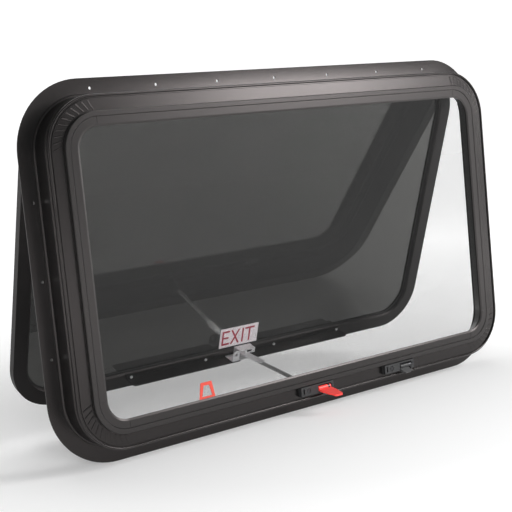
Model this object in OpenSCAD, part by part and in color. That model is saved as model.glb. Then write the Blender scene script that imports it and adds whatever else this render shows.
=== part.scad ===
/* [Frame] */
// Half width of the boxed frame, to the outside of its wall
box_half_w = 438; // [380:1:520]
// Half height of the boxed frame, to the outside of its wall
box_half_h = 258; // [230:1:320]
// Outer corner radius of the boxed frame
box_corner_r = 78; // [70:1:90]
// Depth of the box, from the flange to the face band
box_depth = 43; // [38:1:60]
// Wall thickness of the frame extrusion
wall = 2.2; // [1.6:0.1:2.6]
// Reach of the mounting flange beyond the box
flange_reach = 26; // [22:1:34]
// Thickness of the mounting flange
flange_t = 2.5; // [1.5:0.1:3]
// Reach of the seal leg inside the box
seal_reach = 7; // [6:0.5:8]
// Width of the face band
face_band = 24; // [23:0.5:27]
// Radius of the rounded bead along the outer edge of the face band
edge_bead_r = 1.8; // [1.5:0.1:2]
// Radius of the bead where the wall meets the flange
foot_bead_r = 3; // [2:0.5:4]
// Number of bend creases pressed into each face band corner
crease_count = 11; // [6:1:13]

/* [Screw holes] */
// Pitch of the screw holes along the flange
hole_pitch = 113; // [100:1:118]
// Distance of the screw holes from the outer edge of the flange
hole_inset = 15; // [13:0.5:16]
// Radius of a screw hole
hole_r = 2.25; // [1.5:0.05:2.6]

/* [Inner rim and screen] */
// Height of the inner rim above the face band
rim_rise = 7; // [5:0.5:9]
// Width of the inner rim
rim_w = 8; // [7:0.5:9]
// Width of the screen frame band
screen_band = 14; // [12:0.5:15]
// Thickness of the screen frame
screen_t = 3.4; // [3:0.1:4]
// Thickness of the insect mesh
mesh_t = 0.4; // [0.3:0.1:0.6]
// Depth of the sloping reveal behind the opening
reveal_depth = 20; // [16:1:22]
// Flare of the reveal towards the outside
reveal_flare = 8; // [6:0.5:9]

/* [Sash] */
// Angle at which the sash stands open
open_angle = 21; // [15:0.5:24]
// Gap between the flange and the closed sash
sash_gap = 5.5; // [5:0.1:6]
// Width of a sash rail
rail_w = 26; // [25:0.5:29]
// Thickness of a sash rail
rail_t = 16; // [14:0.5:20]
// Thickness of the glass
glass_t = 4; // [3:0.5:5]
// Depth of the glass pocket in the rail
pocket = 6; // [5:0.5:7]

/* [Hinge] */
// Radius of the hinge bead along the head
bead_r = 2.4; // [2.2:0.1:2.5]
// Clearance round the hinge bead
bead_gap = 0.3; // [0.2:0.05:0.35]
// Wall of the hook that hangs on the bead
hook_wall = 1.7; // [1.5:0.1:1.8]
// Length of the hinge
hinge_len = 700; // [500:10:720]

/* [Keeper and stay] */
// Length of the keeper bar
keeper_len = 472; // [466:2:480]
// Pitch of the keeper screws
keeper_pitch = 152.4; // [148:0.2:154]
// Depth of the shelf of the keeper bar
keeper_shelf = 30; // [29:0.5:31]
// Thickness of the keeper bar
keeper_t = 2; // [1.6:0.1:2.4]
// Length of the stay arm from its pin to its free end
stay_len = 170; // [160:1:172]
// Width of the dark stay bar
stay_bar_w = 10; // [8:0.5:12]
// Width of the bright stay tongue
stay_tongue_w = 16; // [14:0.5:17]
// Thickness of each stay strip
stay_t = 1.5; // [1.2:0.1:1.6]
// Downward slope of the stay arm towards the sill
stay_slope = 11.3; // [10:0.1:12]

/* [Latches] */
// Sideways place of the centre latch lever
centre_latch_x = 6; // [4:0.5:8]
// Sideways place of the right latch lever
right_latch_x = 191; // [180:1:210]
// Width of a latch lever at its hub
lever_w = 25; // [22:0.5:26]
// Width of a latch lever at its tip
lever_tip_w = 16; // [12:0.5:18]
// Length of the red lever from its hub
red_len = 40; // [30:1:44]
// Length of the black lever from its hub
black_len = 14; // [12:1:18]
// Radius of a latch hub
hub_r = 4; // [3.5:0.1:4.2]

/* [Hidden] */
$fn = 64;

e = 0.01;
fit_gap = 0.3;
ledge_in = 1;
spline_inset = 4;
centre_x = box_half_w - box_corner_r;
centre_y = box_half_h - box_corner_r;

// Radii of the concentric bands, measured from the corner centres
r_box = box_corner_r;
r_flange = box_corner_r + flange_reach;
r_foot = r_box + foot_bead_r;
r_seal_leg = r_box - seal_reach;
r_rim = r_box - face_band;
r_screen = r_rim - rim_w;
r_open = r_screen - screen_band;
r_ledge = r_open + ledge_in;
r_groove = r_screen - spline_inset;

// Depths towards the room, measured from the mounting face of the flange
d_face = box_depth;
d_rim = d_face + rim_rise;
d_sash = -flange_t - sash_gap;
d_glass = d_sash - (rail_t + glass_t) / 2;

// The origin lies on the mounting face, midway between the screw line and the edge below it
hole_y = centre_y + r_flange - hole_inset;
origin_inset = hole_inset / 2;
centre_z = centre_y + r_flange - origin_inset;

flange_edge = 1;
bead_groove_w = 2.2;
bead_groove_t = 1.1;
bead_slope = 0.6;
bead_seat = 0.8;
jog_run = 1;
crease_r = 1.6;
crease_rise = 0.8;
crease_skew = 25;
crease_from = 4;
crease_margin = 1.5;
rim_lap = 1;
rim_edge = 0.8;
rim_chamfer = 1;
screen_gap = 0.4;
screen_drop = 0.8;
screen_lip = 2;
screen_bevel = 3;
seam_t = 0.5;
groove_depth = 9;
groove_in = 2.4;
bulb_r = 2.6;
bulb_wall = 1;
spline_r = 0.9;
seam_w = 0.6;
rail_chamfer = 3;
lip_chamfer = 3;
gasket_w = 2.5;
glass_inset = 1;
gasket_t = 1.2;
gasket_play = 0.1;
gasket_in = 1;
gasket_slope = 0.8;

// The hinge line runs along the head, just above the sash
hinge_leg_t = 1.5;
hinge_y = box_half_h + bead_r + bead_gap + hinge_leg_t;
hinge_d = d_sash;
stem_t = 1.6;
mouth_play = 7;

// The keeper and the clip lie on the lower rail
keeper_x = 5;
keeper_y = -box_half_h + 17;
keeper_root_h = 8;
keeper_root_t = 7.5;
keeper_end_r = 4;
keeper_screw_r = 2.5;
keeper_lip = 0.5;
keeper_screw_y = keeper_y + keeper_root_h - keeper_lip - fit_gap - keeper_screw_r;
keeper_channel_t = 1;
keeper_screw_t = 1.6;
shelf_top = keeper_y + keeper_t;
shelf_edge = d_sash + keeper_shelf;

// The stay pin, with the sash shut
stay_y = -box_half_h + 25.5;
stay_d = d_sash + 16.5;
stay_tilt = open_angle - stay_slope;
tongue_len = 62;
stay_rivet_at = 50;
stay_rivet_r = 2;
stay_bar_start = 14;
pin_r = 2;
pin_clear = 0.05;

clip_left = -29;
clip_right = 19;
clip_t = 1.5;
clip_front = stay_d + 13;
clip_lug_w = 15;
clip_base_w = 37.5;
clip_lug_hole_r = 2.8;
clip_box_left = -2;
clip_box_foot = stay_y + 4.6;
clip_top = clip_box_foot + 8.7;
clip_box_d = stay_d - 4;
clip_slot_w = 12;
clip_slot_h = 4.5;
clip_slot_in = 2.5;
clip_slot_up = 2;
clip_tab = 2.5;
clip_tab_w = 4;
clip_tab_at = 8;
clip_notch = 4.3;
pin_reach = 40;

catch_w = 14;
catch_t = 2;
catch_at = 0.3;
catch_reach = 5.5;
catch_foot = 14;
catch_top = shelf_top - 1.9;
notch_left = -11;
notch_w = 20.5;
notch_h = 7;

latch_y = -box_half_h + 15;
latch_d = d_face + 5.5;
housing_h = 15;
housing_t = 8;
housing_base = 1.5;
housing_left = 49;
housing_right = 19.5;
housing_lift = 1;
lever_gap = 1;
latch_pin_r = 1.5;
latch_screw_at = 16;
latch_screw_r = 3;
latch_sink = 1.5;
latch_screw_t = 1.3;
hook_w = 4;
hook_at = 8.5;
hook_drop = 15;
hook_slot_h = 13;
hook_slot_drop = 2.5;
hook_slot_play = 1.5;
hook_slot_t = 12;
hook_t = 3;
hook_clear = 1;
nose_slope = 0.6;
nose_w = 3;
nose_rise = keeper_t + 0.6;
nose_in = 6;
shelf_slot = 5.5;
slot_play = 1;
nose_d = shelf_edge - nose_in;
red_droop = 8;
black_droop = 50;
paddle_t = 3;
paddle_in = 0.5;

label_w = 84;
label_h = 38;
label_t = 0.5;
label_x = 8;
label_gap = 2;
label_y = -box_half_h + rail_w + label_gap;

// Puts what is drawn in the window plane, with depth towards the room, into the part's frame
module place() {
    translate([0, 0, centre_z]) rotate([90, 0, 0]) children();
}

// Swings what is drawn with the sash shut out to its open place
module opened() {
    translate([0, 0, centre_z])
        translate([0, -hinge_d, hinge_y]) rotate([open_angle, 0, 0]) translate([0, hinge_d, -hinge_y])
            rotate([90, 0, 0]) children();
}

// One straight length of a bent extrusion
module run(half_len, off) {
    translate([-half_len, off, 0]) rotate([90, 0, 90]) linear_extrude(2 * half_len) children();
}

// Carries a profile round the four sides and corners of the window
module bent() {
    for (turn = [0, 180]) {
        rotate([0, 0, turn]) run(centre_x, centre_y) children();
        rotate([0, 0, turn + 90]) run(centre_y, centre_x) children();
    }
    corners() rotate_extrude(angle = 90, $fn = 96) children();
}

// Repeats what is drawn for the upper right corner at all four corners
module corners() {
    for (sx = [-1, 1]) for (sy = [-1, 1])
        translate([sx * centre_x, sy * centre_y, 0])
            rotate([0, 0, sx > 0 ? (sy > 0 ? 0 : -90) : (sy > 0 ? 90 : 180)]) children();
}

// A flat panel with the window's concentric corners
module panel(r, d, t) {
    translate([0, 0, d]) linear_extrude(t) {
        square([2 * (centre_x + r), 2 * centre_y], center = true);
        square([2 * centre_x, 2 * (centre_y + r)], center = true);
        for (sx = [-1, 1]) for (sy = [-1, 1])
            translate([sx * centre_x, sy * centre_y]) circle(r, $fn = 96);
    }
}

// Flat ring that is screwed to the wall
module flange_profile() {
    polygon([[r_foot, -flange_t], [r_flange - flange_edge, -flange_t], [r_flange, -flange_t + flange_edge],
        [r_flange, 0], [r_foot, 0]]);
}

// Wall of the box, set in near the face band to leave a shadow groove
module wall_profile() {
    jog = d_face - groove_depth;
    top = d_face - wall;
    r_set = r_box - groove_in;
    r_in = r_box - wall;
    polygon([[r_in, -flange_t], [r_foot, -flange_t], [r_foot, 0], [r_box, 0], [r_box, jog],
        [r_set, jog + jog_run], [r_set, top], [r_set - wall, top], [r_set - wall, jog - jog_run],
        [r_in, jog - 2 * jog_run]]);
    intersection() {
        translate([r_box, 0]) circle(foot_bead_r, $fn = 24);
        translate([r_box - e, -e]) square(foot_bead_r + 1);
    }
}

// Leg inside the foot of the wall, which carries the seal
module seal_leg_profile() {
    translate([r_seal_leg, -flange_t]) square([seal_reach - wall, flange_t]);
}

// Face band, with a groove beside the rounded bead that stands out along its edge
module face_profile() {
    r_in = r_box - 2 * edge_bead_r;
    back = d_face - wall;
    polygon([[r_rim, back], [r_rim, d_face], [r_in - bead_groove_w, d_face],
        [r_in - bead_groove_w + bead_slope, d_face - bead_groove_t],
        [r_in + bead_slope, d_face - bead_groove_t],
        [r_box - edge_bead_r, d_face - bead_seat], [r_box - bead_slope, back]]);
    translate([r_box - edge_bead_r, back + edge_bead_r]) circle(edge_bead_r, $fn = 24);
}

// Bend creases, slanting ridges round one corner of the face band
module creases() {
    outer = r_box - 2 * edge_bead_r - bead_groove_w;
    mid = (r_rim + outer) / 2;
    for (i = [0 : crease_count - 1])
        rotate([0, 0, crease_from + (90 - 2 * crease_from) * i / (crease_count - 1)])
            translate([mid, 0, d_face + crease_rise - crease_r]) rotate([0, 90, crease_skew])
                cylinder(h = outer - r_rim - 2 * crease_margin, r = crease_r, center = true, $fn = 16);
}

// Opening through which a latch hook reaches
module hook_slot() {
    translate([hook_at, -hook_slot_drop, 0])
        cube([hook_w + 2 * hook_slot_play, hook_slot_h, hook_slot_t], center = true);
}

module mounting_flange() {
    color([0.13, 0.13, 0.14]) place() difference() {
        bent() flange_profile();
        for (i = [-3 : 3]) for (sy = [-1, 1])
            translate([i * hole_pitch, sy * hole_y, -flange_t - 1]) cylinder(h = flange_t + 2, r = hole_r);
        for (i = [-1 : 1]) for (sx = [-1, 1])
            translate([sx * (centre_x + r_flange - hole_inset), i * hole_pitch, -flange_t - 1])
                cylinder(h = flange_t + 2, r = hole_r);
    }
}

module frame_wall() {
    color([0.12, 0.12, 0.13]) place() bent() wall_profile();
}

module seal_leg() {
    color([0.12, 0.12, 0.13]) place() bent() seal_leg_profile();
}

module face_band() {
    color([0.14, 0.14, 0.15]) place() difference() {
        union() {
            bent() face_profile();
            corners() creases();
        }
        for (x = [centre_latch_x, right_latch_x])
            translate([x, latch_y, d_face]) hook_slot();
    }
}

// Raised rim round the screen, with the ledge that the screen frame lies on
module rim_profile() {
    back = d_rim - screen_t;
    polygon([[r_rim, d_face - rim_lap], [r_rim, d_rim - rim_chamfer], [r_rim - rim_chamfer, d_rim],
        [r_screen + rim_edge, d_rim],
        [r_screen, d_rim - rim_edge], [r_screen, back], [r_ledge, back], [r_ledge, back - wall],
        [r_rim - wall, back - wall], [r_rim - e, d_face - rim_lap]]);
}

module inner_rim() {
    color([0.16, 0.16, 0.17]) place() bent() rim_profile();
}

// Sloping skirt behind the opening, flared towards the outside
module reveal_profile() {
    top = d_rim - screen_t - wall;
    foot = top + wall - reveal_depth;
    polygon([[r_ledge, top], [r_ledge + reveal_flare, foot], [r_ledge + reveal_flare + wall, foot],
        [r_ledge + wall, top]]);
}

module inner_reveal() {
    color([0.15, 0.15, 0.16]) place() bent() reveal_profile();
}

module screen_frame_profile() {
    back = d_rim - screen_t;
    groove = 2 * spline_r + 0.1;
    polygon([
        [r_screen - screen_gap, back], [r_screen - screen_gap, d_rim - screen_drop],
        [r_open + screen_bevel, d_rim - screen_drop], [r_open, d_rim - screen_lip],
        [r_open, back + mesh_t], [r_groove - groove, back + mesh_t],
        [r_groove - groove, back + groove], [r_groove, back + groove], [r_groove, back]]);
}

// Screen frame, with a fine seam at each end of its corner pieces
module screen_frame() {
    color([0.18, 0.18, 0.19]) place() difference() {
        bent() screen_frame_profile();
        for (sx = [-1, 1]) for (sy = [-1, 1])
            translate([sx * centre_x, sy * centre_y, d_rim - screen_drop - seam_t]) {
                translate([-seam_w / 2, sy > 0 ? r_open - 1 : -r_screen - 1, 0])
                    cube([seam_w, screen_band + 2, 1]);
                translate([sx > 0 ? r_open - 1 : -r_screen - 1, -seam_w / 2, 0])
                    cube([screen_band + 2, seam_w, 1]);
            }
    }
}

module screen_mesh() {
    color([0.75, 0.75, 0.75, 0.4]) place()
        panel(r_groove - 2 * spline_r - 0.1, d_rim - screen_t, mesh_t);
}

module screen_spline() {
    at_r = r_groove - 0.05 - spline_r;
    at_d = d_rim - screen_t + 0.05 + spline_r;
    color([0.1, 0.1, 0.1]) place() bent() translate([at_r, at_d]) circle(spline_r, $fn = 16);
}

// Red loop that lifts the screen out, a band bent into a trapezium
module screen_pull_loop() {
    loop_x = -222;
    foot = 29;
    top = 20;
    rise = 25;
    band = 5;
    foot_band = 3;
    loop_t = 1;
    base_y = -centre_y - r_open + fit_gap;
    color([0.9, 0.25, 0.2]) place()
        translate([loop_x, base_y, d_rim - screen_t + mesh_t]) linear_extrude(loop_t) difference() {
            polygon([[-foot / 2, 0], [-top / 2, rise], [top / 2, rise], [foot / 2, 0]]);
            polygon([[-foot / 2 + band, foot_band], [-top / 2 + band, rise - band],
                [top / 2 - band, rise - band], [foot / 2 - band, foot_band]]);
        }
}

module bulb_seal() {
    at_r = r_box - seal_reach / 2;
    color([0.07, 0.07, 0.07]) place() bent() translate([at_r, -flange_t - bulb_r]) difference() {
        union() {
            circle(bulb_r, $fn = 24);
            translate([-bulb_r, 0]) square([2 * bulb_r, bulb_r]);
        }
        circle(bulb_r - bulb_wall, $fn = 24);
    }
}

// Bead along the head, on a stem that stands off the flange
module hinge_bead() {
    color([0.12, 0.12, 0.12]) place()
        translate([-hinge_len / 2, hinge_y, hinge_d]) rotate([90, 0, 90]) linear_extrude(hinge_len) {
            circle(bead_r);
            translate([-stem_t / 2, 0]) square([stem_t, -flange_t - hinge_d]);
        }
}

// Catch at the middle of the sill, where the free end of the stay lands
module sill_catch() {
    floor_y = -box_half_h + wall;
    color([0.16, 0.16, 0.17]) place() {
        translate([-catch_w / 2, floor_y, catch_at]) cube([catch_w, catch_top - floor_y, catch_t]);
        translate([-catch_w / 2, catch_top - catch_t, -catch_reach])
            cube([catch_w, catch_t, catch_reach + catch_at + catch_t]);
        translate([-catch_w / 2, floor_y, catch_at]) cube([catch_w, catch_t, catch_foot]);
    }
}

module latch_housing(x) {
    cheek = lever_w / 2 + lever_gap;
    foot = housing_lift - housing_h / 2;
    lintel = 2.5;
    recess_in = 4;
    recess_w = 3;
    place() translate([x, latch_y, 0]) difference() {
        union() {
            translate([-housing_left, foot, d_face])
                cube([housing_left + housing_right, housing_h, housing_base]);
            translate([-housing_left, foot, d_face])
                cube([housing_left - cheek, housing_h, housing_t]);
            translate([cheek, foot, d_face])
                cube([housing_right - cheek, housing_h, housing_t]);
            translate([-cheek - e, foot + housing_h - lintel, d_face])
                cube([2 * (cheek + e), lintel, housing_t]);
        }
        translate([0, 0, d_face]) hook_slot();
        translate([-lever_w / 2 - 5, 0, latch_d]) rotate([0, 90, 0])
            cylinder(h = lever_w + 10, r = latch_pin_r);
        translate([0, 0, latch_d]) rotate([0, 90, 0])
            cylinder(h = lever_w + 2 * lever_gap - e, r = hub_r + lever_gap, center = true);
        translate([recess_in - housing_left, foot + recess_w, d_face + housing_base])
            cube([recess_w, housing_h - 2 * recess_w, housing_t]);
        translate([-housing_left + latch_screw_at, housing_lift, d_face + housing_t - latch_sink])
            cylinder(h = 2 * latch_sink, r = latch_screw_r + 1);
    }
}

module latch_screws(x) {
    place() translate([x, latch_y + housing_lift, 0]) {
        translate([-housing_left + latch_screw_at, 0, d_face + housing_t - latch_sink])
            screw_head(latch_screw_r, latch_screw_t);
        translate([housing_right - latch_screw_r, 0, d_face + housing_t])
            screw_head(latch_screw_r - 0.4, latch_screw_t);
    }
}

module centre_latch_housing() {
    color([0.13, 0.13, 0.13]) latch_housing(centre_latch_x);
}

module right_latch_housing() {
    color([0.13, 0.13, 0.13]) latch_housing(right_latch_x);
}

module centre_latch_screws() {
    color([0.3, 0.3, 0.31]) latch_screws(centre_latch_x);
}

module right_latch_screws() {
    color([0.3, 0.3, 0.31]) latch_screws(right_latch_x);
}

// Hub and tapering paddle of a latch, drooping towards the room
module lever(x, len, droop) {
    place() translate([x, latch_y, latch_d]) difference() {
        union() {
            rotate([0, 90, 0]) cylinder(h = lever_w, r = hub_r, center = true);
            rotate([droop, 0, 0]) translate([0, paddle_t + paddle_in - hub_r, 0]) rotate([90, 0, 0])
                linear_extrude(paddle_t) paddle_outline(len);
        }
        rotate([0, 90, 0]) cylinder(h = lever_w + 2, r = latch_pin_r + pin_clear, center = true);
        translate([hook_at, 0, 0]) cube([hook_w, 20, 2 * hub_r + 2], center = true);
    }
}

module paddle_outline(len) {
    half = lever_w / 2;
    tip = lever_tip_w / 2;
    shoulder = hub_r + len / 4;
    cut = 2;
    polygon([[-half, 0], [half, 0], [half, shoulder], [tip, len - cut], [tip - cut, len],
        [cut - tip, len], [-tip, len - cut], [-half, shoulder]]);
}

// Hook that reaches through the face band to the keeper, let down clear of it
module latch_hook(x) {
    top = keeper_y - hook_clear - latch_y;
    inner = nose_d - latch_d - nose_w / 2;
    outer = inner + nose_w;
    place() translate([x + hook_at, latch_y, latch_d]) rotate([-hook_drop, 0, 0]) rotate([0, -90, 0])
        linear_extrude(hook_w, center = true) difference() {
            union() {
                circle(hub_r);
                polygon([[0, hub_r - 1], [-2 * hub_r, top], [outer, top], [outer, top + nose_rise],
                    [inner, top + nose_rise - nose_slope], [inner, top - hook_t], [0, -hub_r + 1]]);
            }
            circle(latch_pin_r + pin_clear);
        }
}

module latch_pin(x) {
    color([0.6, 0.6, 0.6]) place() translate([x, latch_y, latch_d]) rotate([0, 90, 0])
        cylinder(h = lever_w + 8, r = latch_pin_r, center = true);
}

module red_lever() {
    color([0.93, 0.2, 0.17]) lever(centre_latch_x, red_len, red_droop);
}

module red_hook() {
    color([0.3, 0.3, 0.3]) latch_hook(centre_latch_x);
}

module black_lever() {
    color([0.1, 0.1, 0.1]) lever(right_latch_x, black_len, black_droop);
}

module black_hook() {
    color([0.3, 0.3, 0.3]) latch_hook(right_latch_x);
}

module centre_latch_pin() {
    latch_pin(centre_latch_x);
}

module right_latch_pin() {
    latch_pin(right_latch_x);
}

module sash_profile() {
    r_in = r_box - rail_w;
    back = d_sash - rail_t;
    g_in = d_glass + glass_t / 2 + fit_gap;
    g_out = d_glass - glass_t / 2 - fit_gap;
    polygon([
        [r_in + lip_chamfer, d_sash], [r_box, d_sash], [r_box, back + rail_chamfer],
        [r_box - rail_chamfer, back], [r_in + rail_chamfer, back], [r_in, back + rail_chamfer / 2],
        [r_in, g_out], [r_in + pocket, g_out], [r_in + pocket, g_in + gasket_t + gasket_play],
        [r_in, g_in + gasket_t + gasket_play], [r_in, d_sash - lip_chamfer]]);
}

module sash_frame() {
    color([0.15, 0.15, 0.16]) opened() bent() sash_profile();
}

module glass_pane() {
    color([0.2, 0.22, 0.22, 0.6]) opened()
        panel(r_box - rail_w + pocket - glass_inset, d_glass - glass_t / 2, glass_t);
}

module glazing_gasket() {
    r_in = r_box - rail_w;
    r_tip = r_in - gasket_w + gasket_in;
    r_root = r_in + pocket - gasket_in;
    g_in = d_glass + glass_t / 2;
    color([0.35, 0.35, 0.35]) opened() bent()
        polygon([[r_tip, g_in], [r_root, g_in], [r_root, g_in + gasket_t],
            [r_tip + gasket_slope, g_in + gasket_t]]);
}

// Hook along the top rail that hangs on the hinge bead
module sash_hinge_hook() {
    r_bore = bead_r + bead_gap;
    r_out = r_bore + hook_wall;
    foot = rail_t - 4;
    shut = asin(stem_t / 2 / r_bore) + mouth_play;
    open = shut + open_angle;
    color([0.13, 0.13, 0.13]) opened()
        translate([-hinge_len / 2, hinge_y, hinge_d]) rotate([90, 0, 90])
            linear_extrude(hinge_len) difference() {
            union() {
                circle(r_out);
                translate([-hinge_y + box_half_h, -foot]) square([hinge_leg_t, foot]);
            }
            circle(r_bore);
            translate([-hinge_y, -r_out - 1]) square([box_half_h, 20]);
            polygon([[0, 0], 3 * r_out * [-sin(shut), cos(shut)], 3 * r_out * [sin(open), cos(open)]]);
        }
}

// Shelf of the keeper seen from above, with rounded outer corners
module shelf_outline() {
    half = keeper_len / 2;
    translate([-half, 0]) square([keeper_len, keeper_shelf - keeper_end_r]);
    translate([-half + keeper_end_r, 0]) square([keeper_len - 2 * keeper_end_r, keeper_shelf]);
    for (s = [-1, 1])
        translate([s * (half - keeper_end_r), keeper_shelf - keeper_end_r]) circle(keeper_end_r);
}

// Section of the root that is screwed to the rail, with a shallow channel for the screws
module root_profile() {
    low = keeper_screw_y - keeper_y - keeper_screw_r - fit_gap;
    high = keeper_root_h - keeper_lip;
    bed = keeper_root_t - keeper_channel_t;
    polygon([[0, 0], [0, keeper_root_t], [low, keeper_root_t], [low, bed], [high, bed],
        [high, keeper_root_t], [keeper_root_h, keeper_root_t], [keeper_root_h, 0]]);
}

// Angle bar on the lower rail, with a slot for each latch hook and a notch for the sill catch
module keeper_bar() {
    color([0.08, 0.08, 0.08]) opened() difference() {
        translate([keeper_x, keeper_y, d_sash]) {
            translate([0, keeper_t, 0]) rotate([90, 0, 0]) linear_extrude(keeper_t) shelf_outline();
            translate([-keeper_len / 2, 0, 0]) rotate([90, 0, 90]) linear_extrude(keeper_len) root_profile();
        }
        for (x = [centre_latch_x, right_latch_x])
            translate([x + hook_at, keeper_y, nose_d])
                cube([hook_w + 2 * slot_play, 5 * keeper_t, shelf_slot], center = true);
        translate([notch_left, keeper_y - 1, d_sash - 1]) cube([notch_w, notch_h, keeper_shelf + 2]);
    }
}

module keeper_screws() {
    color([0.75, 0.75, 0.75]) opened() for (i = [-1.5 : 1.5])
        translate([keeper_x + i * keeper_pitch, keeper_screw_y, d_sash + keeper_root_t - keeper_channel_t])
            screw_head(keeper_screw_r, keeper_screw_t);
}

// Low head with a cross recess
module screw_head(r, h) {
    slot_w = 0.8;
    difference() {
        cylinder(h = h, r = r);
        for (turn = [0, 90])
            rotate([0, 0, turn]) translate([0, 0, h]) cube([1.4 * r, slot_w, slot_w], center = true);
    }
}

// Bright clip on the keeper shelf: a lug with a hole, and a slotted box over the pin of the stay
module stay_clip() {
    back = d_sash + keeper_root_t;
    front = clip_front - clip_t;
    lug_r = clip_lug_w / 2;
    lug_y = clip_top - lug_r;
    side = clip_left + clip_lug_w - clip_t;
    depth = clip_front - clip_box_d;
    color([0.8, 0.8, 0.82]) opened() difference() {
        union() {
            translate([clip_left, shelf_top, back]) cube([clip_base_w, clip_t, clip_front - back]);
            translate([clip_left, shelf_top, front]) cube([clip_lug_w, lug_y - shelf_top, clip_t]);
            translate([clip_left + lug_r, lug_y, front]) cylinder(h = clip_t, r = lug_r);
            translate([side, shelf_top, clip_box_d]) cube([clip_t, clip_top - shelf_top, depth]);
            translate([side, clip_top - clip_t, clip_box_d]) cube([clip_right - side, clip_t, depth]);
            translate([clip_box_left, clip_box_foot, front])
                cube([clip_right - clip_box_left, clip_top - clip_box_foot, clip_t]);
            translate([clip_right - clip_tab_at, clip_top - e, front]) cube([clip_tab_w, clip_tab, clip_t]);
        }
        translate([clip_left + lug_r, lug_y, front - 1]) cylinder(h = clip_t + 2, r = clip_lug_hole_r);
        translate([clip_box_left + clip_slot_in, clip_box_foot + clip_slot_up, front - 1])
            cube([clip_slot_w, clip_slot_h, clip_t + 2]);
        pin_place() cylinder(h = pin_reach, r = pin_r, center = true);
        translate([notch_left, shelf_top - 1, back - 1]) cube([notch_w, notch_h - keeper_t, clip_notch + 1]);
    }
}

// Places a cylinder's axis on the axis of the stay pin
module pin_place() {
    translate([0, stay_y, stay_d]) rotate([-stay_tilt, 0, 0]) rotate([90, 0, 0]) children();
}

module stay_pin() {
    color([0.7, 0.7, 0.72]) opened() intersection() {
        pin_place() cylinder(h = pin_reach, r = pin_r, center = true);
        translate([-10, shelf_top, stay_d - 10]) cube([20, clip_top - shelf_top, 20]);
    }
}

module exit_label() {
    color([0.85, 0.85, 0.85]) opened()
        translate([label_x - label_w / 2, label_y, d_glass + glass_t / 2]) cube([label_w, label_h, label_t]);
}

// Places a flat strip of the stay, with its length running from the pin towards the sill
module stay_place() {
    opened() pin_place() children();
}

// Flat strip with round ends
module strip(w, from, to) {
    translate([-w / 2, from + w / 2]) square([w, to - from - w]);
    translate([0, from + w / 2]) circle(w / 2);
    translate([0, to - w / 2]) circle(w / 2);
}

module stay_tongue() {
    color([0.6, 0.6, 0.6]) stay_place() translate([0, 0, -stay_t]) linear_extrude(stay_t) difference() {
        strip(stay_tongue_w, -stay_tongue_w / 2, tongue_len);
        circle(pin_r + pin_clear);
        translate([0, stay_rivet_at]) circle(stay_rivet_r);
    }
}

module stay_bar() {
    color([0.12, 0.12, 0.13]) stay_place() linear_extrude(stay_t) difference() {
        strip(stay_bar_w, stay_bar_start, stay_len);
        translate([0, stay_rivet_at]) circle(stay_rivet_r);
    }
}

module stay_rivet() {
    color([0.7, 0.7, 0.72]) stay_place() translate([0, stay_rivet_at, -stay_t])
        cylinder(h = 2 * stay_t, r = stay_rivet_r);
}

mounting_flange();
frame_wall();
seal_leg();
face_band();
inner_rim();
inner_reveal();
screen_frame();
screen_mesh();
screen_spline();
screen_pull_loop();
bulb_seal();
hinge_bead();
sill_catch();
centre_latch_housing();
centre_latch_screws();
right_latch_housing();
right_latch_screws();
sash_frame();
glass_pane();
glazing_gasket();
sash_hinge_hook();
keeper_bar();
keeper_screws();
stay_clip();
stay_pin();
exit_label();
stay_tongue();
stay_bar();
stay_rivet();
red_lever();
red_hook();
centre_latch_pin();
black_lever();
black_hook();
right_latch_pin();
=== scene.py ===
"""Looks of a top-hung caravan window, standing open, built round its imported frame."""
import math

import bmesh
import bpy
from mathutils import Matrix, Vector


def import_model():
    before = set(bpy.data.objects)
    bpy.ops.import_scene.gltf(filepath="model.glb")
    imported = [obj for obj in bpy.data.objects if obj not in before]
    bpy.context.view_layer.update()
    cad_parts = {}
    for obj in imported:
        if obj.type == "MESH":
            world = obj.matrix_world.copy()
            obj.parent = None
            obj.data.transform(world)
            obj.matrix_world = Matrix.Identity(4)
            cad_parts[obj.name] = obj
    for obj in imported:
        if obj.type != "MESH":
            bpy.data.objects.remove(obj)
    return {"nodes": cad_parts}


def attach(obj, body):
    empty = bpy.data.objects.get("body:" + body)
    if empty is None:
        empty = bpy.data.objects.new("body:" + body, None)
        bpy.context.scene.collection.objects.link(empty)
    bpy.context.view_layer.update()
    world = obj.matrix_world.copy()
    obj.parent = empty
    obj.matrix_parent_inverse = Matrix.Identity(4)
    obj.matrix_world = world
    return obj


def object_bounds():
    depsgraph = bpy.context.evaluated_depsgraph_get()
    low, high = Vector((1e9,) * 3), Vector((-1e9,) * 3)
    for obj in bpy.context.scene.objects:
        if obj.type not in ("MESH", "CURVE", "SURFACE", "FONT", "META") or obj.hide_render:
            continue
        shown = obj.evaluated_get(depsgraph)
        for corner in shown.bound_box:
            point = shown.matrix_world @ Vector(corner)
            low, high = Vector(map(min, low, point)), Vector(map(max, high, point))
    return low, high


MM = 0.001

# Camera: place in metres, angles in degrees, focal length and sensor width in millimetres
CAMERA_PLACE = Vector((-1.126, -1.4555, 0.4505))
CAMERA_AZIMUTH = 35.877
CAMERA_DROP = 6.327
CAMERA_ROLL = -5.494
CAMERA_LENS = 78.37
CAMERA_SENSOR = 36.0
CAMERA_SHIFT = (0.00125, 0.0123)

# The open sash turns about the head: the hinge line and the angle
HINGE = Vector((0, 0.008, 0.5387))
OPEN_ANGLE = math.radians(21.0)

# Exit plate, in millimetres on the shut sash: middle, size, and how deep its face lies
PLATE_MIDDLE = (8, -211)
PLATE_SIZE = (84, 38)
PLATE_FACE = -15.5

# Height of the window's middle, in millimetres
CENTRE_Z = 276.5

# Middles of the frame's round corners, in metres from the window's middle
CORNER_X = 0.36
CORNER_Z = 0.18

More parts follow.
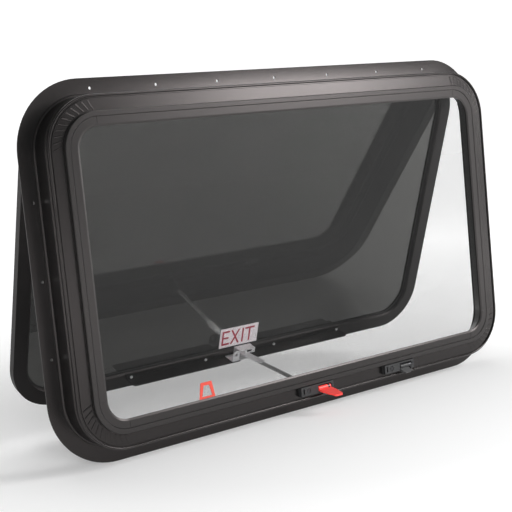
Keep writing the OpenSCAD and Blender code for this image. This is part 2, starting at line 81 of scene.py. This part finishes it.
# Studio: greys of the stage and the room, sizes in metres
FLOOR_GREY = 0.75
FLOOR_REACH = 9.0
BACKDROP_GREY = 0.85
BACKDROP_HALF_WIDTH = 27.0
BACKDROP_TOP = 15.0
ROOM_GREY = 0.1

# The lamps fade with distance, so the floor glows more further off; the weak glow near the window
# also paints a soft shade on the floor round it. Each glow is given as its strength near and far,
# and the reach as those two distances from the origin, in metres.
FLOOR_GLOW_AND_PAINTED_SHADE = (0.21, 1.0)
BACKDROP_GLOW = (1.0, 1.0)
GLOW_REACH = (0.4, 2.6)

# The floor lies this far under the frame's lowest point, in metres
FLOOR_GAP = 0.0005

# Lamps: place and size in metres, power in watts, and whether glossy faces mirror them
LAMP_AIM = (0, 0, 0.3)
LAMPS = (
    ("key", (1.81, -2.16, 1.57), (0.85, 1.6), 75, True),
    ("side", (2.6, -0.9, 0.7), (0.5, 0.8), 12, True),
    ("fill", (-1.5, -2.6, 0.75), (1.2, 1.2), 90, False),
    ("top", (0.3, 0.8, 2.6), (2.5, 2.0), 28, True),
)


def rgba(colour):
    return (*colour, 1.0)


class Look:
    """A material made of nodes that end in one Principled shader."""

    def __init__(self, name, **sockets):
        self.material = bpy.data.materials.new(name)
        self.material.use_nodes = True
        self.tree = self.material.node_tree
        self.body = self.tree.nodes["Principled BSDF"]
        self.fill(self.body, **sockets)

    def fill(self, node, **sockets):
        for key, value in sockets.items():
            self.set(node.inputs[key.replace("_", " ")], value)

    def set(self, socket, value):
        if isinstance(value, bpy.types.NodeSocket):
            self.tree.links.new(value, socket)
        else:
            socket.default_value = value

    def add(self, kind, settings=None, **sockets):
        node = self.tree.nodes.new("ShaderNode" + kind)
        for key, value in (settings or {}).items():
            setattr(node, key, value)
        self.fill(node, **sockets)
        return node

    def math(self, operation, first, second=0.0):
        node = self.add("Math", {"operation": operation})
        for socket, value in zip(node.inputs, (first, second)):
            self.set(socket, value)
        return node.outputs["Value"]

    def place(self):
        return self.add("TexCoord").outputs["Object"]

    def axes(self):
        parts = self.add("SeparateXYZ", Vector=self.place())
        return parts.outputs["X"], parts.outputs["Y"], parts.outputs["Z"]

    def stretched(self, scale):
        return self.add("Mapping", Vector=self.place(), Scale=scale).outputs["Vector"]

    def noise(self, scale, detail=2.0, place=None):
        node = self.add("TexNoise", Vector=place or self.place(), Scale=scale, Detail=detail)
        return node.outputs["Fac"]

    def span(self, value, low, high, start=0.0, end=1.0):
        return self.add("MapRange", Value=value, From_Min=start, From_Max=end, To_Min=low,
                        To_Max=high).outputs["Result"]

    def blend(self, share, first, second):
        ramp = self.add("ValToRGB", Fac=share)
        ramp.color_ramp.elements[0].color = rgba(first)
        ramp.color_ramp.elements[1].color = rgba(second)
        return ramp.outputs["Color"]

    def bump(self, height, distance, normal=None):
        node = self.add("Bump", Height=height, Distance=distance, Strength=1.0)
        if normal:
            self.fill(node, Normal=normal)
        self.fill(self.body, Normal=node.outputs["Normal"])

    def vector_math(self, operation, first, second=None, scale=None):
        node = self.add("VectorMath", {"operation": operation})
        self.set(node.inputs[0], first)
        if second is not None:
            self.set(node.inputs[1], second)
        if scale is not None:
            self.fill(node, Scale=scale)
        return node.outputs["Vector"]

    def length(self, vector):
        node = self.add("VectorMath", {"operation": "LENGTH"})
        self.set(node.inputs[0], vector)
        return node.outputs["Value"]

    def outward(self):
        """Vector in the window's plane to the surface, from a corner's middle or straight off a side."""
        along_x, _, along_z = self.axes()
        parts = []
        for value, middle, reach in ((along_x, 0.0, CORNER_X), (along_z, CENTRE_Z * MM, CORNER_Z)):
            offset = self.math("SUBTRACT", value, middle)
            past = self.math("SUBTRACT", self.math("ABSOLUTE", offset), reach)
            beyond = self.math("MAXIMUM", past, 0.0)
            parts.append(self.math("MULTIPLY", beyond, self.math("SIGN", offset)))
        return self.add("CombineXYZ", X=parts[0], Y=0.0, Z=parts[1]).outputs["Vector"]

    def crowned(self, inner, outer):
        """Surface normal that leans outward, as on a band rolled with a slight crown.

        Each end is a distance along outward, in millimetres, and the lean there.
        """
        away = self.outward()
        lean = self.span(self.length(away), inner[1], outer[1], inner[0] * MM, outer[0] * MM)
        leaning = self.vector_math("SCALE", self.vector_math("NORMALIZE", away), scale=lean)
        normal = self.vector_math("ADD", self.add("NewGeometry").outputs["Normal"], leaning)
        return self.vector_math("NORMALIZE", normal)


# Powder coat: warm cast of its shine, scale of its slow drift, spread of its roughness, and its
# orange peel. Noise scales are per metre and heights in metres, here and below.
COAT_TINT = (1.0, 0.9, 0.89)
COAT_DRIFT = 7.0
COAT_SPREAD = 0.03
PEEL_SCALE = 1500.0
PEEL_HEIGHT = 0.00002

# How far a band leans outward at its inner and outer edge, each given as distance in mm and lean
FLANGE_CROWN = ((81, 0.055), (104, -0.03))
FACE_CROWN = ((54, 0.07), (78, 0.07))
RIM_CROWN = ((32, 0.03), (54, 0.03))


def powder_coat(name, dark, light, rough, crown=None, shine=0.5):
    """Satin black coat: a fine orange peel, with colour and roughness that drift a little."""
    look = Look(name, Specular_IOR_Level=shine, Specular_Tint=rgba(COAT_TINT))
    drift = look.noise(COAT_DRIFT)
    look.fill(look.body, Base_Color=look.blend(drift, dark, light),
              Roughness=look.span(drift, rough - COAT_SPREAD, rough + COAT_SPREAD))
    look.bump(look.noise(PEEL_SCALE), PEEL_HEIGHT, look.crowned(*crown) if crown else None)
    return look.material


# Fine grain of moulded surfaces
GRAIN_HEIGHT = 0.00003


def moulded(name, colour, rough, shine, darkest, spread, drift_scale, grain_scale):
    """Moulded surface: colour and roughness that drift a little, over a fine grain."""
    look = Look(name, Specular_IOR_Level=shine)
    drift = look.noise(drift_scale)
    look.fill(look.body, Base_Color=look.blend(drift, [darkest * c for c in colour], colour),
              Roughness=look.span(drift, rough - spread, rough + spread))
    look.bump(look.noise(grain_scale), GRAIN_HEIGHT)
    return look.material


def rubber(name, colour, rough=0.65):
    return moulded(name, colour, rough, shine=0.35, darkest=0.8, spread=0.06,
                   drift_scale=60.0, grain_scale=2500.0)


def plastic(name, colour, rough=0.42):
    return moulded(name, colour, rough, shine=0.5, darkest=0.9, spread=0.05,
                   drift_scale=40.0, grain_scale=1800.0)


# Rolling marks of sheet steel: noise scale along each axis, detail, darkest share, roughness, height
MARK_SCALE = (30.0, 30.0, 900.0)
MARK_DETAIL = 3.0
MARK_DARKEST = 0.82
MARK_SPREAD = 0.08
MARK_HEIGHT = 0.00002


def steel(name, colour, rough, metal=1.0):
    """Plated sheet steel with fine rolling marks; a dull plating is less than all metal."""
    look = Look(name, Metallic=metal)
    marks = look.noise(1.0, MARK_DETAIL, look.stretched(MARK_SCALE))
    look.fill(look.body, Base_Color=look.blend(marks, [MARK_DARKEST * c for c in colour], colour),
              Roughness=look.span(marks, rough - MARK_SPREAD, rough + MARK_SPREAD))
    look.bump(marks, MARK_HEIGHT)
    return look.material


# Slow waves of rolled glass
WAVE_SCALE = 3.0
WAVE_DETAIL = 1.0
WAVE_HEIGHT = 0.00004


def tinted_glass():
    """Dark safety glass: what is behind shows faintly, and the face mirrors the room."""
    look = Look("tinted_glass", Base_Color=rgba((0.006, 0.0062, 0.0055)), Roughness=0.01,
                IOR=1.76, Alpha=0.84, Specular_Tint=rgba((1.0, 1.0, 0.95)))
    look.bump(look.noise(WAVE_SCALE, WAVE_DETAIL), WAVE_HEIGHT)
    return look.material


# Insect mesh: distance between threads in metres, and the share of it that a thread covers
MESH_PITCH = 0.0014
THREAD_SHARE = 0.09


def insect_mesh():
    """Plain weave of coated glass fibre: opaque threads with open squares between them."""
    look = Look("insect_mesh", Base_Color=rgba((0.012, 0.012, 0.012)), Roughness=0.6,
                Specular_IOR_Level=0.3)
    along_x, _, along_z = look.axes()
    threads = []
    for axis in (along_x, along_z):
        turn = look.math("FRACT", look.math("DIVIDE", axis, MESH_PITCH))
        threads.append(look.math("LESS_THAN", turn, THREAD_SHARE))
    look.fill(look.body, Alpha=look.math("MAXIMUM", *threads))
    return look.material


def paint(frame, material, *nodes):
    for node in nodes:
        piece = frame["nodes"][node]
        piece.data.materials.clear()
        piece.data.materials.append(material)


def piece_from(name, bm, material, body):
    mesh = bpy.data.meshes.new(name)
    bm.to_mesh(mesh)
    bm.free()
    piece = bpy.data.objects.new(name, mesh)
    bpy.context.scene.collection.objects.link(piece)
    mesh.materials.append(material)
    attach(piece, body)


def on_sash(x, up, depth):
    """A point of the shut sash, in millimetres, carried to its open place, in metres.

    Up is from the window's middle, and depth from the mounting face towards the room.
    """
    shut = Vector((x * MM, -depth * MM, (CENTRE_Z + up) * MM))
    return Matrix.Rotation(OPEN_ANGLE, 3, "X") @ (shut - HINGE) + HINGE


# Ink of the exit word, in millimetres. Each stroke lies a step above the last, so none fight.
INK_WIDTH = 3.4
INK_RISE = 0.12
INK_STEP = 0.003

# Each letter's strokes, as middle lines in millimetres from the plate's lower left corner
LETTERS = {
    "E": [((6, 5), (6, 33)), ((6, 6.7), (21, 6.7)), ((6, 19), (19, 19)), ((6, 31.3), (21, 31.3))],
    "X": [((25, 5), (41.5, 33)), ((41.5, 5), (25, 33))],
    "I": [((50, 5), (50, 33))],
    "T": [((65, 5), (65, 31.3)), ((54.5, 31.3), (76, 31.3))],
}


def add_stroke(bm, start, end, lift):
    """A flat bar of ink between two points of the plate."""
    along = Vector((end[0] - start[0], end[1] - start[1])).normalized()
    across = Vector((-along.y, along.x)) * INK_WIDTH / 2
    left = PLATE_MIDDLE[0] - PLATE_SIZE[0] / 2
    foot = PLATE_MIDDLE[1] - PLATE_SIZE[1] / 2
    rings = []
    for depth in (PLATE_FACE, PLATE_FACE + lift):
        corners = [Vector(start) - across, Vector(end) - across,
                   Vector(end) + across, Vector(start) + across]
        rings.append([bm.verts.new(on_sash(left + c.x, foot + c.y, depth)) for c in corners])
    bm.faces.new(rings[1])
    for i in range(4):
        bm.faces.new((rings[0][i], rings[0][(i + 1) % 4], rings[1][(i + 1) % 4], rings[1][i]))


def exit_word(material):
    bm = bmesh.new()
    lift = INK_RISE
    for strokes in LETTERS.values():
        for start, end in strokes:
            add_stroke(bm, start, end, lift)
            lift += INK_STEP
    bmesh.ops.recalc_face_normals(bm, faces=bm.faces)
    piece_from("exit_word", bm, material, "sash")


def make_camera():
    azimuth, drop, roll = (math.radians(a) for a in (CAMERA_AZIMUTH, CAMERA_DROP, CAMERA_ROLL))
    forward = Vector((math.sin(azimuth) * math.cos(drop),
                      math.cos(azimuth) * math.cos(drop), -math.sin(drop)))
    level = Vector((math.cos(azimuth), -math.sin(azimuth), 0))
    upright = level.cross(forward)
    right = math.cos(roll) * level + math.sin(roll) * upright
    up = math.cos(roll) * upright - math.sin(roll) * level
    data = bpy.data.cameras.new("camera")
    data.lens = CAMERA_LENS
    data.sensor_width = CAMERA_SENSOR
    data.shift_x, data.shift_y = CAMERA_SHIFT
    camera = bpy.data.objects.new("camera", data)
    columns = Matrix((right, up, -forward)).transposed().to_4x4()
    camera.matrix_world = Matrix.Translation(CAMERA_PLACE) @ columns
    bpy.context.scene.collection.objects.link(camera)
    bpy.context.scene.camera = camera


def plane(name, corners, material):
    mesh = bpy.data.meshes.new(name)
    mesh.from_pydata(corners, [], [tuple(range(len(corners)))])
    mesh.materials.append(material)
    piece = bpy.data.objects.new(name, mesh)
    bpy.context.scene.collection.objects.link(piece)


def stage_paint(name, grey, glow):
    """Pale stage colour that glows where it is seen, and so reads as white, lights nothing matt, and
    paints shade where its glow is weaker near the middle.
    """
    look = Look(name, Base_Color=rgba((grey, grey, grey)), Roughness=0.9, Specular_IOR_Level=0.1)
    # Glow grows with distance from the origin; where it is weak, near the window, it paints shade on the
    # floor
    strength = look.span(look.length(look.place()), *glow, *GLOW_REACH)
    path = look.add("LightPath")
    seen = look.math("MAXIMUM", path.outputs["Is Camera Ray"], path.outputs["Is Glossy Ray"])
    seen = look.math("MAXIMUM", seen, path.outputs["Is Transmission Ray"])
    look.fill(look.body, Emission_Color=rgba((1, 1, 1)),
              Emission_Strength=look.math("MULTIPLY", seen, strength))
    return look.material


def make_world():
    """A dim room for the light, with a white surround where the camera looks past the stage."""
    world = bpy.data.worlds.new("studio")
    world.use_nodes = True
    tree = world.node_tree
    path = tree.nodes.new("ShaderNodeLightPath")
    span = tree.nodes.new("ShaderNodeMapRange")
    span.inputs["To Min"].default_value = ROOM_GREY
    tree.links.new(path.outputs["Is Camera Ray"], span.inputs["Value"])
    tree.nodes["Background"].inputs["Color"].default_value = rgba((1, 1, 1))
    tree.links.new(span.outputs["Result"], tree.nodes["Background"].inputs["Strength"])
    bpy.context.scene.world = world


def area_light(name, place, size, power, mirrored):
    data = bpy.data.lights.new(name, "AREA")
    data.shape = "RECTANGLE"
    data.size, data.size_y = size
    data.energy = power
    lamp = bpy.data.objects.new(name, data)
    lamp.visible_glossy = mirrored
    lamp.location = place
    lamp.rotation_euler = (Vector(LAMP_AIM) - Vector(place)).to_track_quat("-Z", "Y").to_euler()
    bpy.context.scene.collection.objects.link(lamp)


def make_studio(floor_z):
    far = FLOOR_REACH
    wide = BACKDROP_HALF_WIDTH
    top = BACKDROP_TOP
    floor = [(-wide, -far, floor_z), (wide, -far, floor_z),
             (wide, far, floor_z), (-wide, far, floor_z)]
    backdrop = [(-wide, far, floor_z), (wide, far, floor_z), (wide, far, top), (-wide, far, top)]
    plane("floor", floor, stage_paint("floor_paint", FLOOR_GREY, FLOOR_GLOW_AND_PAINTED_SHADE))
    plane("backdrop", backdrop, stage_paint("backdrop_paint", BACKDROP_GREY, BACKDROP_GLOW))
    make_world()
    for lamp in LAMPS:
        area_light(*lamp)


def main():
    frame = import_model()
    cad_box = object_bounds()
    make_camera()

    # Coat colours, each at the two ends of its drift
    black = ((0.005, 0.0049, 0.0049), (0.007, 0.0069, 0.0068))
    grey = ((0.013, 0.0128, 0.0127), (0.016, 0.0157, 0.0156))
    flange_coat = powder_coat("flange_coat", *black, rough=0.26, crown=FLANGE_CROWN, shine=0.48)
    face_coat = powder_coat("face_coat", *black, rough=0.26, crown=FACE_CROWN, shine=0.48)
    wall_coat = powder_coat("wall_coat", *black, rough=0.3)
    screen_coat = powder_coat("screen_coat", *grey, rough=0.3, crown=RIM_CROWN, shine=0.45)
    sash_coat = powder_coat("sash_coat", *black, rough=0.45, shine=0.25)
    seal_rubber = rubber("seal_rubber", (0.02, 0.02, 0.02))
    black_plastic = plastic("black_plastic", (0.02, 0.02, 0.021))
    red_plastic = plastic("red_plastic", (0.9, 0.06, 0.05), rough=0.35)
    red_loop = plastic("red_loop", (0.55, 0.06, 0.04), rough=0.6)
    zinc = steel("zinc", (0.8, 0.8, 0.81), rough=0.38, metal=0.5)
    dark_steel = steel("dark_steel", (0.09, 0.09, 0.095), rough=0.4)
    grey_steel = steel("grey_steel", (0.34, 0.34, 0.34), rough=0.45, metal=0.3)
    label_plate = plastic("label_plate", (0.95, 0.88, 0.91), rough=0.5)
    ink = plastic("label_ink", (0.42, 0.03, 0.055), rough=0.5)

    paint(frame, flange_coat, "mounting_flange")
    paint(frame, face_coat, "face_band")
    paint(frame, wall_coat, "frame_wall", "seal_leg", "hinge_bead", "sill_catch")
    paint(frame, screen_coat, "inner_rim", "inner_reveal", "screen_frame")
    paint(frame, sash_coat, "sash_frame", "sash_hinge_hook", "keeper_bar")
    paint(frame, grey_steel, "stay_bar")
    paint(frame, seal_rubber, "bulb_seal", "glazing_gasket", "screen_spline")
    paint(frame, black_plastic, "centre_latch_housing", "right_latch_housing", "black_lever")
    paint(frame, red_plastic, "red_lever")
    paint(frame, red_loop, "screen_pull_loop")
    paint(frame, zinc, "stay_clip", "stay_pin", "stay_tongue", "stay_rivet", "keeper_screws")
    paint(frame, dark_steel, "centre_latch_screws", "right_latch_screws", "red_hook", "black_hook",
          "centre_latch_pin", "right_latch_pin")
    paint(frame, tinted_glass(), "glass_pane")
    paint(frame, insect_mesh(), "screen_mesh")
    paint(frame, label_plate, "exit_label")
    exit_word(ink)

    make_studio(cad_box[0].z - FLOOR_GAP)
    bpy.context.scene.view_settings.view_transform = "Standard"


main()
